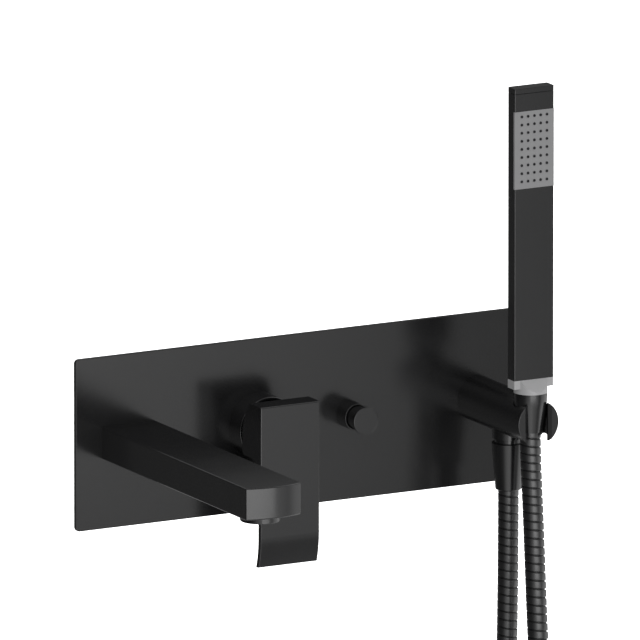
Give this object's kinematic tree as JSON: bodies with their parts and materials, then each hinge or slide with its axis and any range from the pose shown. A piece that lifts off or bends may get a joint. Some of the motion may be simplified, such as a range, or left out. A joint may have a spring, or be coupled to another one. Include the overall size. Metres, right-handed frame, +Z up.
{
  "type": "wall mounted bath faucet",
  "caption": "Wall mounted bath mixer on a long back plate with lever, pull diverter, flat spout and a hand shower on a hose in its outlet holder.",
  "frame": {"origin": "centre of the back plate's rear face, where it rests on the finished wall", "axes": "+X right along the plate seen from the room, +Y into the wall, +Z up"},
  "size_m": [0.35, 0.2804, 0.8607],
  "materials": {
    "black_metal": "satin matte black coat over brass",
    "black_hose": "interlocked metal hose, dark satin",
    "grey_plastic": "grey satin moulded",
    "pale_plastic": "pale grey satin moulded",
    "nozzle_rubber": "soft silicone",
    "brass": "machined and cast",
    "steel": "stamped and turned",
    "seal_rubber": "moulded",
    "foam": "closed cell strip",
    "white_plastic": "moulded",
    "ceramic": "lapped ceramic"
  },
  "bodies": {
    "wall_unit": {"back_plate": "black_metal", "plate_seal": "foam", "manifold_body": "brass", "wall_bracket": "steel", "bracket_screws": "steel", "hot_inlet": "brass", "cold_inlet": "brass", "spout_body": "black_metal", "spout_nipple": "brass", "spout_o_ring": "seal_rubber", "spout_grub_screw": "steel", "aerator_housing": "black_metal", "aerator_insert": "white_plastic", "aerator_washer": "seal_rubber", "cartridge_sleeve": "black_metal", "sleeve_seal": "seal_rubber", "cartridge_nut": "black_metal", "cartridge_body": "white_plastic", "cartridge_seals": "seal_rubber", "fixed_disc": "ceramic", "diverter_sleeve": "black_metal", "diverter_bonnet": "brass", "outlet_holder": "black_metal", "outlet_nipple": "brass", "lower_hose_nut": "black_metal", "outlet_washer": "seal_rubber", "lower_ferrule": "brass", "hose_outlet_run": "black_hose", "hose_handset_run": "black_hose"},
    "turret": {"cartridge_carrier": "white_plastic", "stem_pin": "steel"},
    "lever": {"cartridge_stem": "steel", "lever_handle": "black_metal", "lever_set_screw": "steel"},
    "disc": {"moving_disc": "ceramic", "disc_driver": "white_plastic"},
    "diverter": {"diverter_knob": "black_metal", "diverter_spindle": "steel", "diverter_piston": "white_plastic", "diverter_seals": "seal_rubber"},
    "hose_end": {"upper_ferrule": "brass", "hose_washer": "seal_rubber"},
    "handset": {"upper_hose_nut": "black_metal", "handset_shell": "black_metal", "handset_cap": "black_metal", "spray_plate": "grey_plastic", "spray_nozzles": "nozzle_rubber", "handset_connector": "pale_plastic", "handset_water_duct": "white_plastic"}
  },
  "joints": [
    {"name": "lever_turn", "type": "hinge", "parent": "wall_unit", "child": "turret", "pos_m": [-0.035, 0, 0], "axis": [0, 1, 0], "range_deg": [-45, 45]},
    {"name": "lever_lift", "type": "hinge", "parent": "turret", "child": "lever", "pos_m": [-0.035, 0.008, 0], "axis": [-1, 0, 0], "range_deg": [0, 18]},
    {"name": "disc_slide", "type": "slide", "parent": "turret", "child": "disc", "axis": [0, 0, -1], "range_m": [0, 0.0038]},
    {"name": "diverter_push", "type": "slide", "parent": "wall_unit", "child": "diverter", "axis": [0, 1, 0], "range_m": [0, 0.0085]},
    {"name": "handset_lift", "type": "slide", "parent": "wall_unit", "child": "hose_end", "axis": [0, 0, 1], "range_m": [0, 0.045], "deforming": ["hose_handset_run"]},
    {"name": "handset_swivel", "type": "hinge", "parent": "hose_end", "child": "handset", "pos_m": [0.135, -0.0792, 0], "axis": [0, 0, 1], "continuous": true}
  ],
  "couplings": [
    {"joint": "disc_slide", "follows": "lever_lift", "m_per_rad": 0.011804}
  ]
}
